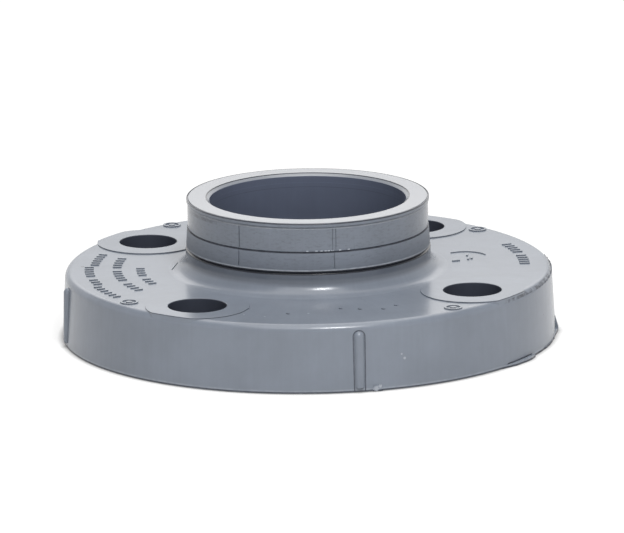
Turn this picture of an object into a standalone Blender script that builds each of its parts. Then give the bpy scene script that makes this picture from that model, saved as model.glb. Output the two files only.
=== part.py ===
"""Socket flange for 2 inch pipe, moulded in one piece from grey PVC.

The gasket face lies on z = 0, the bore runs along +Z and the hub points up.
The rim's two ribs lie on -X and -Y, and the bolt holes halfway between the axes.
Every length is in metres.
"""

import math

import bpy

# Pipe socket: the bore tapers from just over the pipe's size to just under it
PIPE_D = 0.060325             # outside diameter of the pipe that is cemented in
MOUTH_PLAY = 0.0003           # how much wider than the pipe the socket's mouth is
STOP_NIP = 0.00015            # how much narrower than the pipe the socket's inner end is
SOCKET_DEPTH = 0.0381         # hub end to the shoulder that stops the pipe
STOP_WIDTH = 0.00433          # radial width of that shoulder
STOP_HEIGHT = 0.0054          # shoulder above the gasket face
MOUTH_CHAMFER = 0.0009        # 45 degree lead-in at the mouth
WATERWAY_EDGE = 0.0005        # broken edge where the waterway leaves the gasket face

# Bolting
BOLT_COUNT = 4
BOLT_CIRCLE_D = 0.12065
BOLT_HOLE_D = 0.0178
RIM_MARGIN = 0.015875         # bolt circle to the rim, and the radius of a bolt pad
PAD_HEIGHT = 0.00035          # bolt pads above the disc
PAD_SETBACK = 0.0002          # a pad's outer side inside the rim's wall

# Flange disc
FLANGE_T = 0.0211             # gasket face to the top of the disc
RIM_DRAFT = math.radians(3.0)
RIM_EDGE_R = 0.0015           # round along the rim's upper edge
FACE_EDGE = 0.0004            # broken edge round the gasket face

# Hub, from the disc up: fillet, neck, undercut, skirt, parting groove, collar, lip
HUB_WALL = 0.0068             # wall at the socket's mouth
HUB_FILLET_R = 0.005
NECK_LENGTH = 0.00225         # straight neck between the fillet and the undercut
NECK_STEP = 0.0007            # neck proud of the collar
UNDERCUT_W = 0.0005
UNDERCUT_DEPTH = 0.0005
SKIRT_HEIGHT = 0.006          # undercut to the parting groove
SKIRT_STEP = 0.0002           # skirt proud of the collar at the parting groove
SKIRT_FLARE = 0.0003          # what the skirt gains towards its lower edge
SKIRT_EDGE_R = 0.0004
PARTING_W = 0.0004
PARTING_DEPTH = 0.0002
LIP_HEIGHT = 0.0013
LIP_STEP = 0.00032            # lip proud of the collar
LIP_EDGE_R = 0.00035

# Sealing grooves in the gasket face
GROOVE_COUNT = 5
GROOVE_PITCH = 0.003
GROOVE_W = 0.0009
GROOVE_DEPTH = 0.0005
GROOVE_LAND = 0.0075          # waterway to the first groove

# Half-round ribs up the rim's wall
RIB_COUNT = 2
RIB_PITCH = math.radians(90.0)
RIB_FIRST = math.radians(180.0)
RIB_R = 0.00155
RIB_REACH = 0.0008            # rib beyond the rim at the gasket face
RIB_DRAFT = math.radians(1.0)
RIB_BASE = 0.0013             # rib's foot above the gasket face
RIB_DROP = 0.0017             # rib's dome below the top of the disc

# Facets
TURN_STEPS = 72
HOLE_STEPS = 36
RIB_STEPS = 20
FILLET_STEPS = 5
EDGE_STEPS = 4
FINE_STEPS = 2
MERGE = 0.000001
CUT_MARGIN = 0.002            # how far a cutter runs past what it cuts

# Worked out from the driving dimensions
mouth_r = (PIPE_D + MOUTH_PLAY) / 2
stop_r = (PIPE_D - STOP_NIP) / 2
waterway_r = stop_r - STOP_WIDTH
height = STOP_HEIGHT + SOCKET_DEPTH
collar_r = mouth_r + HUB_WALL
lip_r = collar_r + LIP_STEP
neck_r = collar_r + NECK_STEP
skirt_r = collar_r + SKIRT_STEP + SKIRT_FLARE
undercut_r = neck_r - UNDERCUT_DEPTH
undercut_z = FLANGE_T + HUB_FILLET_R + NECK_LENGTH
skirt_z = undercut_z + UNDERCUT_W
parting_z = skirt_z + SKIRT_HEIGHT
bolt_r = BOLT_CIRCLE_D / 2
rim_r = bolt_r + RIM_MARGIN
pad_z = FLANGE_T + PAD_HEIGHT


def wall_r(z):
    """Radius of the rim's drafted wall at a height."""
    return rim_r - z * math.tan(RIM_DRAFT)


def arc(centre, radius, start, end, steps):
    """Points of an arc round (r, z), both ends included, angles in degrees from +r to +z."""
    turns = [math.radians(start + (end - start) * i / steps) for i in range(steps + 1)]
    return [(centre[0] + radius * math.cos(a), centre[1] + radius * math.sin(a)) for a in turns]


def hub_outline():
    """Outer side of the hub, from its end face down to the disc."""
    points = [(mouth_r + MOUTH_CHAMFER, height)]
    points += arc((lip_r - LIP_EDGE_R, height - LIP_EDGE_R), LIP_EDGE_R, 90, 0, FINE_STEPS)
    points += [
        (lip_r, height - LIP_HEIGHT),
        (collar_r, height - LIP_HEIGHT - LIP_STEP),
        (collar_r, parting_z + PARTING_W / 2),
        (collar_r - PARTING_DEPTH, parting_z),
        (collar_r + SKIRT_STEP, parting_z - PARTING_W / 2),
    ]
    points += arc((skirt_r - SKIRT_EDGE_R, skirt_z + SKIRT_EDGE_R), SKIRT_EDGE_R, 0, -90, FINE_STEPS)
    points += [
        (undercut_r, skirt_z),
        (undercut_r, undercut_z + UNDERCUT_W / 2),
        (neck_r, undercut_z),
    ]
    points += arc((neck_r + HUB_FILLET_R, FLANGE_T + HUB_FILLET_R), HUB_FILLET_R, 180, 270, FILLET_STEPS)
    return points


def rim_outline():
    """Rounded upper edge of the disc, its drafted wall and its broken lower edge."""
    edge_z = FLANGE_T - RIM_EDGE_R
    edge_r = wall_r(edge_z) - RIM_EDGE_R / math.cos(RIM_DRAFT)
    points = arc((edge_r, edge_z), RIM_EDGE_R, 90, math.degrees(RIM_DRAFT), EDGE_STEPS)
    points += [(wall_r(FACE_EDGE), FACE_EDGE), (rim_r - FACE_EDGE, 0.0)]
    return points


def gasket_outline():
    """Gasket face from outside in, with a V for each sealing groove."""
    points = []
    for i in reversed(range(GROOVE_COUNT)):
        groove_r = waterway_r + GROOVE_LAND + i * GROOVE_PITCH
        points += [
            (groove_r + GROOVE_W / 2, 0.0),
            (groove_r, GROOVE_DEPTH),
            (groove_r - GROOVE_W / 2, 0.0),
        ]
    return points


def bore_outline():
    """Waterway, pipe stop and tapered socket, from the gasket face up to the mouth."""
    return [
        (waterway_r + WATERWAY_EDGE, 0.0),
        (waterway_r, WATERWAY_EDGE),
        (waterway_r, STOP_HEIGHT),
        (stop_r, STOP_HEIGHT),
        (mouth_r, height - MOUTH_CHAMFER),
    ]


def new_collection(name):
    collection = bpy.data.collections.new(name)
    bpy.context.scene.collection.children.link(collection)
    return collection


def turned(name, outline, closed, steps, collection):
    """A profile of (r, z) points in the XZ plane, turned about Z by a Screw modifier."""
    edges = [(i, i + 1) for i in range(len(outline) - 1)]
    if closed:
        edges.append((len(outline) - 1, 0))
    mesh = bpy.data.meshes.new(name)
    mesh.from_pydata([(r, 0.0, z) for r, z in outline], edges, [])
    solid = bpy.data.objects.new(name, mesh)
    collection.objects.link(solid)
    screw = solid.modifiers.new("Turn", 'SCREW')
    screw.axis = 'Z'
    screw.angle = math.tau
    screw.steps = steps
    screw.render_steps = steps
    screw.use_merge_vertices = True
    screw.merge_threshold = MERGE
    screw.use_smooth_shade = True
    return solid


def boolean(target, tool, operation):
    cut = target.modifiers.new(f"{operation.title()} {tool.name}", 'BOOLEAN')
    cut.operation = operation
    cut.solver = 'EXACT'
    cut.object = tool


def as_tool(obj):
    """Marks a cutter or a joined shape that isn't a part by itself."""
    obj.hide_render = True
    obj.display_type = 'WIRE'
    return obj


def grey_pvc():
    material = bpy.data.materials.new("grey_pvc")
    material.use_nodes = True
    shader = material.node_tree.nodes["Principled BSDF"]
    shader.inputs["Base Color"].default_value = (0.205, 0.220, 0.248, 1.0)
    shader.inputs["Roughness"].default_value = 0.32
    shader.inputs["Metallic"].default_value = 0.0
    return material


def around(count, radius, first, pitch):
    """Places for a ring of copies, with the angle of each."""
    for i in range(count):
        angle = first + i * pitch
        yield angle, (radius * math.cos(angle), radius * math.sin(angle), 0.0)


def bolt_places():
    """Places of the bolt holes, halfway between the axes, with the angle of each."""
    return around(BOLT_COUNT, bolt_r, math.pi / BOLT_COUNT, math.tau / BOLT_COUNT)


def pad_limit(tools):
    """The rim's wall carried up past the pads, which trims them to the rim."""
    low = FLANGE_T - RIM_EDGE_R - CUT_MARGIN
    high = pad_z + CUT_MARGIN
    outline = [
        (0.0, high),
        (wall_r(high) - PAD_SETBACK, high),
        (wall_r(low) - PAD_SETBACK, low),
        (0.0, low),
    ]
    limit = as_tool(turned("pad_limit", outline, False, TURN_STEPS, tools))
    # Half a facet round, so that no edge of it runs along an edge of the rim
    limit.rotation_euler = (0.0, 0.0, math.pi / TURN_STEPS)
    return limit


def add_pads(body, tools):
    """Raised round pads under the bolt heads, one round each hole."""
    limit = pad_limit(tools)
    low = FLANGE_T - RIM_EDGE_R - CUT_MARGIN / 2
    outline = [(0.0, pad_z), (RIM_MARGIN, pad_z), (RIM_MARGIN, low), (0.0, low)]
    for i, (_, place) in enumerate(bolt_places()):
        pad = as_tool(turned(f"pad_{i + 1}", outline, False, TURN_STEPS // 2, tools))
        pad.location = place
        boolean(pad, limit, 'INTERSECT')
        boolean(body, pad, 'UNION')


def add_ribs(body, tools):
    """Half-round ribs with domed tops, sunk into the rim's wall."""
    axis_r = rim_r + RIB_REACH - RIB_R
    dome_z = FLANGE_T - RIB_DROP - RIB_R
    outline = arc((0.0, dome_z), RIB_R, 90, 0, EDGE_STEPS) + [(RIB_R, RIB_BASE), (0.0, RIB_BASE)]
    for i, (angle, place) in enumerate(around(RIB_COUNT, axis_r, RIB_FIRST, RIB_PITCH)):
        rib = as_tool(turned(f"rib_{i + 1}", outline, False, RIB_STEPS, tools))
        rib.location = place
        rib.rotation_euler = (0.0, -RIB_DRAFT, angle)
        boolean(body, rib, 'UNION')


def drill_bolt_holes(body, tools):
    depth = pad_z + 2 * CUT_MARGIN
    for i, (_, place) in enumerate(bolt_places()):
        bpy.ops.mesh.primitive_cylinder_add(
            vertices=HOLE_STEPS, radius=BOLT_HOLE_D / 2, depth=depth,
            location=(place[0], place[1], pad_z / 2),
        )
        drill = as_tool(bpy.context.object)
        drill.name = f"bolt_hole_{i + 1}"
        for collection in list(drill.users_collection):
            collection.objects.unlink(drill)
        tools.objects.link(drill)
        boolean(body, drill, 'DIFFERENCE')


def build():
    for obj in list(bpy.data.objects):
        bpy.data.objects.remove(obj, do_unlink=True)
    parts = new_collection("socket_flange")
    tools = new_collection("cutters")
    outline = hub_outline() + rim_outline() + gasket_outline() + bore_outline()
    body = turned("flange_body", outline, True, TURN_STEPS, parts)
    body.data.materials.append(grey_pvc())
    add_pads(body, tools)
    add_ribs(body, tools)
    drill_bolt_holes(body, tools)
    body.modifiers.new("Even shading", 'WEIGHTED_NORMAL')


build()
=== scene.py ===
"""Dressed model of a two inch socket flange, moulded in one piece from grey PVC.

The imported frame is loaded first. One moulding, turned, padded, ribbed, marked and drilled as the real one
is, stands for the frame's solid. The gasket face lies on z = 0 and the hub points up. Lengths are in metres,
and angles in the tables are in degrees, counted from +X towards +Y.
"""

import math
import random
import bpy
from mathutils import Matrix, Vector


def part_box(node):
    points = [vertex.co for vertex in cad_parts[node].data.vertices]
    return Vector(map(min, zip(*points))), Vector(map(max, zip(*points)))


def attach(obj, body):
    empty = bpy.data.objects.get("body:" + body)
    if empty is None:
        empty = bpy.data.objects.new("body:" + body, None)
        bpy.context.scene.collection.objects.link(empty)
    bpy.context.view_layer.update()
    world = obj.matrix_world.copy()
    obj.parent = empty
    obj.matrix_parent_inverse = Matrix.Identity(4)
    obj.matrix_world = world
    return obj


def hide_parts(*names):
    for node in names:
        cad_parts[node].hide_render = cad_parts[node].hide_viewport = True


bl_info = {
    "name": "Socket flange",
    "version": (1, 0, 0),
    "blender": (4, 5, 0),
    "location": "3D View > Sidebar > Flange",
    "description": "Builds the moulded flange, its finishes and its photo stage",
    "category": "Object",
}

import bmesh
import bpy
from bpy.props import FloatProperty, FloatVectorProperty, IntProperty, PointerProperty
from mathutils import Euler, Vector

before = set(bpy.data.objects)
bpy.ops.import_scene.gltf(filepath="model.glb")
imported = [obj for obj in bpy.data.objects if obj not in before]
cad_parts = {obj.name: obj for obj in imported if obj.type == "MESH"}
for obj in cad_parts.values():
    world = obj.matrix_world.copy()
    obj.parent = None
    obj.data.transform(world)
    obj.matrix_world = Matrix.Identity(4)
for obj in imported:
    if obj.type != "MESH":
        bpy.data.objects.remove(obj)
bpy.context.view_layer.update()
BODY_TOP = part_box("flange_body")[1].z

OCTANT = math.pi / 4
MERGE = 0.000001
PARTING_DEPTH = 0.0002        # how deep the parting groove is cut under the collar
LIP_ROUND = 0.00022           # round along the lip's edge
SKIRT_ROUND = 0.0003          # round along the skirt's foot
NECK_ROUND = 0.0002           # round along the neck's edge, under the undercut
STOP_ROUND = 0.0003           # round along the pipe stop's edge
WATERWAY_ROUND = 0.0005       # round where the waterway meets the gasket face
SINK = 0.0006                 # how far a raised shape is sunk into what carries it

# Rows of plain raised bars on the disc: radius, length, first angle, last angle, step, bars in a group
BAR_ROWS = (
    (0.0662, 0.0027, 153.5, 165.0, 2.3, 6),
    (0.0677, 0.0028, 168.0, 187.0, 2.3, 5),
    (0.0689, 0.0026, 189.5, 203.0, 2.3, 6),
    (0.0591, 0.0028, 157.0, 199.0, 2.7, 5),
    (0.0519, 0.0026, 170.0, 192.0, 3.1, 4),
    (0.0668, 0.0032, 349.5, 374.0, 2.2, 5),
)
# Plain raised rings with a button: radius, angle
RING_PLACES = ((0.0702, 29.9), (0.0708, 116.3), (0.0699, 207.7), (0.0704, 297.5))
# Small specks that lie on the skin: x, y, z, size, pale or dark
SPECKS = (
    (-0.06806, 0.01596, 0.0211, 0.0006, False), (-0.0115, -0.0589, 0.0211, 0.0004, True),
    (-0.0251, -0.0597, 0.0211, 0.0003, True), (-0.0308, -0.0560, 0.0211, 0.0003, True),
    (0.01498, -0.07421, 0.00936, 0.00045, True), (0.01405, -0.07432, 0.0107, 0.0003, True),
    (0.00573, -0.07615, 0.0009, 0.0009, True), (0.00706, -0.07602, 0.0016, 0.0006, True),
)
# Small raised studs in front of the hub: radius, angle
STUD_PLACES = (
    (0.0566, 240.1), (0.0609, 253.1), (0.0557, 269.0), (0.0579, 274.5), (0.0603, 281.0), (0.0580, 286.2),
)
# Where the two ribs stand on the rim's wall, at the left and in front
RIB_ANGLES = (180.0, 270.6)
# Seams where the mould's slides meet round the hub: angle, double on the collar or not
SEAMS = ((44.6, False), (91.4, True), (224.6, False), (271.4, True))
# Thin flash that moulding left: first angle, last angle, lowest z, highest z, then its reach at angles
FLASH = (
    (273.6, 276.0, 0.0001, 0.0018, ((273.6, 0.05), (274.0, 0.5), (274.7, 0.2), (275.3, 0.45), (276.0, 0.05))),
    (309.5, 322.9, 0.0001, 0.0010, ((309.5, 0.0), (311.4, 0.45), (314.0, 1.1), (319.5, 1.4), (322.9, 1.0))),
    (322.6, 341.2, 0.0001, 0.0005, ((322.6, 0.1), (328.5, 0.15), (334.0, 0.35), (338.0, 0.2), (341.2, 0.3))),
    (340.9, 353.0, 0.0001, 0.0012, ((340.9, 0.1), (344.5, 0.3), (347.5, 0.75), (350.0, 0.8), (353.0, 0.0))),
)
# Small cuts, as first angle, last angle, lowest z, highest z: a nick over the parting groove and the
# crease over the largest flash
NICK = (281.0, 281.35, 0.0341, 0.0363)
CREASE = (311.5, 322.6, 0.0009, 0.0013)
# Upright sliver of flash at the right: its angles, then its reach past the rim at heights
SLIVER_ANGLES = (347.6, 348.6)
SLIVER = (
    (0.0007, 0.0001), (0.00085, 0.0008), (0.0008, 0.0017),
    (0.0005, 0.0026), (0.0002, 0.0037), (-0.0001, 0.0048),
)
# Ragged fin along the rim's upper edge: where it starts, how far on it has risen, and where it ends
EDGE_FLASH = (318.0, 12.0, 362.0)
CRUMB_ANGLES = (258.7, 263.0, 265.4, 267.4, 268.8, 270.6, 274.3, 278.6)
# Extra rings of vertices on plain stretches: radii on the disc and the gasket face, heights on the wall
# and the collar, and shares of the socket's depth
DISC_RINGS = (0.0465, 0.052, 0.0575, 0.063, 0.0685)
FACE_RINGS = (0.070, 0.063, 0.056, 0.050)
WALL_RINGS = (0.0155, 0.0125, 0.0095, 0.0065, 0.0045, 0.003, 0.0018, 0.001)
COLLAR_RINGS = (0.0395, 0.038, 0.0365)
SOCKET_RINGS = (0.15, 0.3, 0.45, 0.6, 0.75, 0.88)
# Places of the materials on the moulding
MOULDED, TURNED, SHADED_BORE, SHADED_DEEP, TORN = range(5)
WHITE = (1.0, 1.0, 1.0)
WARM = (1.0, 0.975, 0.945)
LAMP_DISTANCE = 1.1
FLOOR_SIZE = 8.0
FLOOR_DROP = 0.00002          # floor below the gasket face
CLEAR_RADIUS = 0.0755         # inside it the floor lets light through, for all but the camera
CEILING = (0.4, 0.6)          # height of direction at which the room starts and ends to dim, in reflections
# Lamps of the stage: name, power, size, azimuth from the camera's side, elevation, colour
LAMPS = (
    ("front_lamp", "front_power", 0.9, 0.0, 62.0, WHITE), ("key_lamp", "key_power", 0.18, 16.0, 52.0, WHITE),
    ("low_back_lamp", "low_back_power", 0.9, 180.0, 38.0, WARM),
    ("high_back_lamp", "high_back_power", 0.9, 180.0, 76.0, WARM),
)


def amount(name, description, default, unit='LENGTH'):
    """A number with a unit, metres where none is given."""
    return FloatProperty(name=name, description=description, default=default, unit=unit)


def pigment(name, description, default):
    """A colour of one of the finishes."""
    return FloatVectorProperty(
        name=name, description=description, default=default, subtype='COLOR', min=0.0, max=1.0)


class FlangeSizes(bpy.types.PropertyGroup):
    """Sizes of the disc, its pads, holes and ribs"""

    height: amount("Height", "Gasket face to hub end", BODY_TOP)
    thickness: amount("Disc thickness", "Gasket face to the top of the disc", 0.0211)
    bolt_circle: amount("Bolt circle", "Diameter through the bolt holes", 0.12065)
    bolt_hole: amount("Bolt hole", "Diameter of a bolt hole", 0.0178)
    rim_margin: amount("Rim margin", "Bolt circle to the rim, and a pad's radius", 0.015875)
    rim_draft: amount("Rim draft", "Lean of the rim's wall", math.radians(3.0), 'ROTATION')
    rim_edge: amount("Rim edge", "Radius along the rim's upper edge", 0.0023)
    face_edge: amount("Face edge", "Broken edge round the gasket face", 0.0004)
    pad_height: amount("Pad height", "Bolt pad above the disc", 0.00035)
    pad_edge: amount("Pad edge", "Round along a bolt pad's edge", 0.00012)
    hole_edge: amount("Hole edge", "Round at a bolt hole's mouth", 0.0003)
    rib_radius: amount("Rib radius", "Radius of a rib on the rim's wall", 0.00155)
    rib_reach: amount("Rib reach", "A rib beyond the rim at the gasket face", 0.0008)
    rib_draft: amount("Rib draft", "Lean of a rib", math.radians(1.0), 'ROTATION')
    rib_base: amount("Rib foot", "A rib's foot above the gasket face", 0.0013)
    rib_drop: amount("Rib drop", "A rib's dome below the top of the disc", 0.0024)
    turn_steps: IntProperty(
        name="Turn steps", description="Facets round the turned body", default=240, min=48)


class HubSizes(bpy.types.PropertyGroup):
    """Sizes of the hub, its pipe socket and the waterway"""

    pipe: amount("Pipe", "Outside diameter of the pipe", 0.060325)
    mouth_play: amount("Mouth play", "How much wider the mouth is than the pipe", 0.0003)
    mouth_chamfer: amount("Mouth chamfer", "Lead-in at the socket's mouth", 0.0009)
    stop_nip: amount("Stop nip", "How much narrower the inner end is", 0.00015)
    stop_width: amount("Stop width", "Radial width of the pipe stop", 0.00433)
    stop_height: amount("Stop height", "Pipe stop above the gasket face", 0.0054)
    wall: amount("Hub wall", "Wall at the socket's mouth", 0.0068)
    fillet: amount("Hub fillet", "Radius between disc and hub", 0.005)
    neck: amount("Neck", "Straight neck above the fillet", 0.00175)
    neck_step: amount("Neck step", "Neck proud of the collar", 0.0007)
    undercut: amount("Undercut", "Width and depth of the groove over the neck", 0.0005)
    skirt: amount("Skirt", "Undercut to the parting groove", 0.00605)
    skirt_step: amount("Skirt step", "Skirt proud of the collar", 0.0002)
    skirt_flare: amount("Skirt flare", "What the skirt gains towards its foot", 0.0003)
    parting: amount("Parting groove", "Width of the parting groove", 0.0004)
    lip: amount("Lip", "Height of the lip at the hub's end", 0.0013)
    lip_step: amount("Lip step", "Lip proud of the collar", 0.00032)
    grooves: IntProperty(
        name="Sealing grooves", description="Grooves in the gasket face", default=5, min=0)
    groove_pitch: amount("Groove pitch", "One sealing groove to the next", 0.003)
    groove_width: amount("Groove width", "Width of a sealing groove", 0.0009)
    groove_depth: amount("Groove depth", "Depth of a sealing groove", 0.0005)
    groove_land: amount("Groove land", "Waterway to the first groove", 0.0075)


class MarkSizes(bpy.types.PropertyGroup):
    """Sizes of the plain raised marks, the seams and the flash"""

    height: amount("Mark height", "Raised marks above the disc", 0.00033)
    stroke: amount("Stroke", "Width of a raised mark's line", 0.0007)
    ring: amount("Ring", "Outer radius of a ring mark", 0.0028)
    button: amount("Button", "Radius of the button in a ring mark", 0.001)
    seam: amount("Seam", "Width and depth of a seam round the hub", 0.0003)
    seam_gap: amount("Seam gap", "Between the two lines of a double seam", 0.00105)


class FlangeFinish(bpy.types.PropertyGroup):
    """Colours and gloss of the moulded plastic"""

    plastic: pigment("Plastic", "Grey of the moulded PVC", (0.188, 0.213, 0.255))
    turned: pigment("Turned plastic", "Paler grey where a tool has cut the PVC", (0.27, 0.288, 0.32))
    # The socket's grey is the plastic darkened as painted shade inside the socket
    shaded_bore: pigment("Bore plastic", "Grey inside the socket", (0.103, 0.12, 0.168))
    # The darkest grey is the plastic darkened as painted shade inside the bolt holes and the creases
    deep: pigment("Deep plastic", "Grey inside the bolt holes and the creases", (0.05, 0.057, 0.078))
    # This pale grey colours crumbs of flash, pale specks and dust, and also paints highlights along some
    # edges of the skin
    pale_and_highlight: pigment("Torn plastic", "Pale grey of crumbs of flash", (0.36, 0.385, 0.43))
    # This grey colours real dark specks and soil, and also paints shade in grooves, creases, under overhangs
    # and along the foot
    shade_and_grime: pigment("Grime", "Dust and shade that settle in the grooves", (0.022, 0.026, 0.04))


class FlangeStudio(bpy.types.PropertyGroup):
    """Camera, lamps and floor of the photo stage"""

    azimuth: amount("Azimuth", "Camera's turn from -Y towards +X", math.radians(-10.9), 'ROTATION')
    elevation: amount("Elevation", "Camera's height angle", math.radians(13.73), 'ROTATION')
    roll: amount("Roll", "Camera's lean", -0.0118, 'ROTATION')
    distance: amount("Distance", "Camera to the point it looks at", 2.85)
    lens: amount("Lens", "Focal length in millimetres", 532.5, 'NONE')
    aim_height: amount("Aim height", "Height of the point it looks at", 0.021)
    aim_side: amount("Aim side", "How far right of the axis it looks", 0.0011)
    ambient: FloatProperty(
        name="Ambient", description="Strength of the white room's light", default=0.15, min=0.0)
    front_power: amount("Front light", "Wide lamp high over the camera", 6.4, 'POWER')
    key_power: amount("Key light", "Smaller lamp at the camera's right", 4.9, 'POWER')
    low_back_power: amount("Low back light", "Lamp low behind the flange", 2.8, 'POWER')
    high_back_power: amount("High back light", "Lamp high behind the flange", 4.6, 'POWER')


def arc(centre, radius, start, end, steps):
    """Points of an arc round (r, z), both ends included, angles in degrees from +r to +z."""
    turns = [math.radians(start + (end - start) * i / steps) for i in range(steps + 1)]
    return [(centre[0] + radius * math.cos(a), centre[1] + radius * math.sin(a)) for a in turns]


def band(inner, outer, low, high):
    """A rectangular profile of (r, z) points."""
    return [(inner, low), (outer, low), (outer, high), (inner, high)]


def on_circle(radius, degrees, z=0.0):
    """Point at a radius and an angle from +X."""
    angle = math.radians(degrees)
    return Vector((radius * math.cos(angle), radius * math.sin(angle), z))


def wall_r(disc, z):
    """Radius of the rim's drafted wall at a height."""
    return disc.bolt_circle / 2 + disc.rim_margin - z * math.tan(disc.rim_draft)


def mouth_radius(hub):
    return (hub.pipe + hub.mouth_play) / 2


def parting_height(disc, hub):
    return disc.thickness + hub.fillet + hub.neck + hub.undercut + hub.skirt


def hub_outline(disc, hub):
    """Outer side of the hub, from its end face down to the disc."""
    mouth_r = mouth_radius(hub)
    collar_r = mouth_r + hub.wall
    lip_r = collar_r + hub.lip_step
    neck_r = collar_r + hub.neck_step
    skirt_r = collar_r + hub.skirt_step + hub.skirt_flare
    undercut_r = neck_r - hub.undercut
    undercut_z = disc.thickness + hub.fillet + hub.neck
    skirt_z = undercut_z + hub.undercut
    parting_z = parting_height(disc, hub)
    top = disc.height
    chamfer_r = mouth_r + hub.mouth_chamfer
    points = [
        (chamfer_r, top - 0.00014), (chamfer_r + 0.00016, top - 0.00014), (chamfer_r + 0.0002, top),
        (lip_r - 0.00062, top), (lip_r - 0.00054, top - 0.0003),
        (lip_r - 0.00036, top - 0.0003), (lip_r - 0.00028, top - 0.00002),
    ]
    points += arc((lip_r - LIP_ROUND, top - 0.00024), LIP_ROUND, 80, 0, 4)
    points += [
        (lip_r, top - hub.lip + 0.0002),
        (lip_r - 0.00008, top - hub.lip + 0.00002),
        (collar_r - 0.00012, top - hub.lip - hub.lip_step * 0.6),
        (collar_r - 0.00012, top - hub.lip - hub.lip_step),
        (collar_r, top - hub.lip - hub.lip_step * 1.7),
    ]
    points += [(collar_r, z) for z in COLLAR_RINGS]
    points += [
        (collar_r, parting_z + 0.00034), (collar_r - 0.00004, parting_z + hub.parting / 2),
        (collar_r - PARTING_DEPTH, parting_z + 0.0001), (collar_r - PARTING_DEPTH, parting_z - 0.0001),
        (collar_r + hub.skirt_step - 0.00006, parting_z - hub.parting / 2),
        (collar_r + hub.skirt_step, parting_z - hub.parting / 2 - 0.00008),
        (skirt_r - 0.0001, skirt_z + 0.0022),
    ]
    points += arc((skirt_r - SKIRT_ROUND, skirt_z + SKIRT_ROUND), SKIRT_ROUND, 0, -90, 4)
    points += [(undercut_r, skirt_z + 0.0001), (undercut_r, undercut_z + hub.undercut / 2)]
    points += arc((neck_r - NECK_ROUND, undercut_z - NECK_ROUND), NECK_ROUND, 90, 0, 3)
    points += arc((neck_r + hub.fillet, disc.thickness + hub.fillet), hub.fillet, 180, 270, 14)
    return points


def rim_outline(disc):
    """Top of the disc, its rounded upper edge, its drafted wall and its broken lower edge."""
    edge_z = disc.thickness - disc.rim_edge
    edge_r = wall_r(disc, edge_z) - disc.rim_edge / math.cos(disc.rim_draft)
    points = [(r, disc.thickness) for r in DISC_RINGS]
    points += arc((edge_r, edge_z), disc.rim_edge, 90, math.degrees(disc.rim_draft), 10)
    points += [(wall_r(disc, z), z) for z in WALL_RINGS]
    foot_r = wall_r(disc, disc.face_edge) - disc.face_edge - 0.000002
    points += arc((foot_r, disc.face_edge), disc.face_edge, 0, -90, 4)
    return points


def gasket_outline(disc, hub):
    """Gasket face from outside in, with a rounded V for each sealing groove."""
    waterway_r = (hub.pipe - hub.stop_nip) / 2 - hub.stop_width
    points = [(r, 0.0) for r in FACE_RINGS]
    for i in reversed(range(hub.grooves)):
        groove_r = waterway_r + hub.groove_land + i * hub.groove_pitch
        half = hub.groove_width / 2
        points += [
            (groove_r + half, 0.0), (groove_r + half * 0.12, hub.groove_depth * 0.95),
            (groove_r - half * 0.12, hub.groove_depth * 0.95), (groove_r - half, 0.0),
        ]
    return points


def bore_outline(disc, hub):
    """Waterway, pipe stop and tapered socket, from the gasket face up to the mouth."""
    mouth_r = mouth_radius(hub)
    stop_r = (hub.pipe - hub.stop_nip) / 2
    waterway_r = stop_r - hub.stop_width
    points = arc((waterway_r + WATERWAY_ROUND, WATERWAY_ROUND), WATERWAY_ROUND, 270, 180, 3)
    points += arc((waterway_r + STOP_ROUND, hub.stop_height - STOP_ROUND), STOP_ROUND, 180, 90, 3)
    points += [(stop_r - 0.0002, hub.stop_height), (stop_r, hub.stop_height + 0.0002)]
    depth = disc.height - hub.stop_height
    for share in SOCKET_RINGS:
        points.append((stop_r + (mouth_r - stop_r) * share, hub.stop_height + depth * share))
    edge_z = disc.height - hub.mouth_chamfer
    points += [(mouth_r, edge_z - 0.00008), (mouth_r + 0.00003, edge_z + 0.00003)]
    return points


def pick(*objects):
    """Selects these objects alone, the first one active."""
    bpy.ops.object.select_all(action='DESELECT')
    for obj in objects:
        obj.select_set(True)
    bpy.context.view_layer.objects.active = objects[0]


def named(name):
    """The active object, with a name for it and its mesh."""
    obj = bpy.context.object
    obj.name = obj.data.name = name
    return obj


def edit(obj):
    """Opens an object's mesh for editing, with nothing else selected."""
    pick(obj)
    bpy.ops.object.mode_set(mode='EDIT')
    return bmesh.from_edit_mesh(obj.data)


def select_edges(obj, test):
    """Selects the edges of the edited mesh whose two ends pass a test."""
    bpy.ops.mesh.select_all(action='DESELECT')
    bpy.ops.mesh.select_mode(type='EDGE')
    shape = bmesh.from_edit_mesh(obj.data)
    for edge in shape.edges:
        edge.select = test(edge.verts[0].co, edge.verts[1].co)
    bmesh.update_edit_mesh(obj.data)


def close_mesh(obj):
    """Merges doubles, turns the faces outwards and closes the mesh."""
    bpy.ops.mesh.select_all(action='SELECT')
    bpy.ops.mesh.remove_doubles(threshold=MERGE)
    bpy.ops.mesh.normals_make_consistent(inside=False)
    bpy.ops.object.mode_set(mode='OBJECT')


def add_ring(name, places):
    """A closed ring of vertices at given places, to shape a piece from."""
    bpy.ops.object.select_all(action='DESELECT')
    bpy.ops.mesh.primitive_circle_add(vertices=len(places), radius=0.01, fill_type='NOTHING')
    ring = named(name)
    shape = edit(ring)
    shape.verts.ensure_lookup_table()
    for vert, place in zip(shape.verts, places):
        vert.co = place
    bmesh.update_edit_mesh(ring.data)
    bpy.ops.mesh.select_all(action='SELECT')
    return ring


def turned(name, outline, steps):
    """A closed profile of (r, z) points spun about Z."""
    piece = add_ring(name, [(r, 0.0, z) for r, z in outline])
    bpy.ops.mesh.spin(steps=steps, angle=math.tau, center=(0.0, 0.0, 0.0), axis=(0.0, 0.0, 1.0))
    close_mesh(piece)
    return piece


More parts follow.
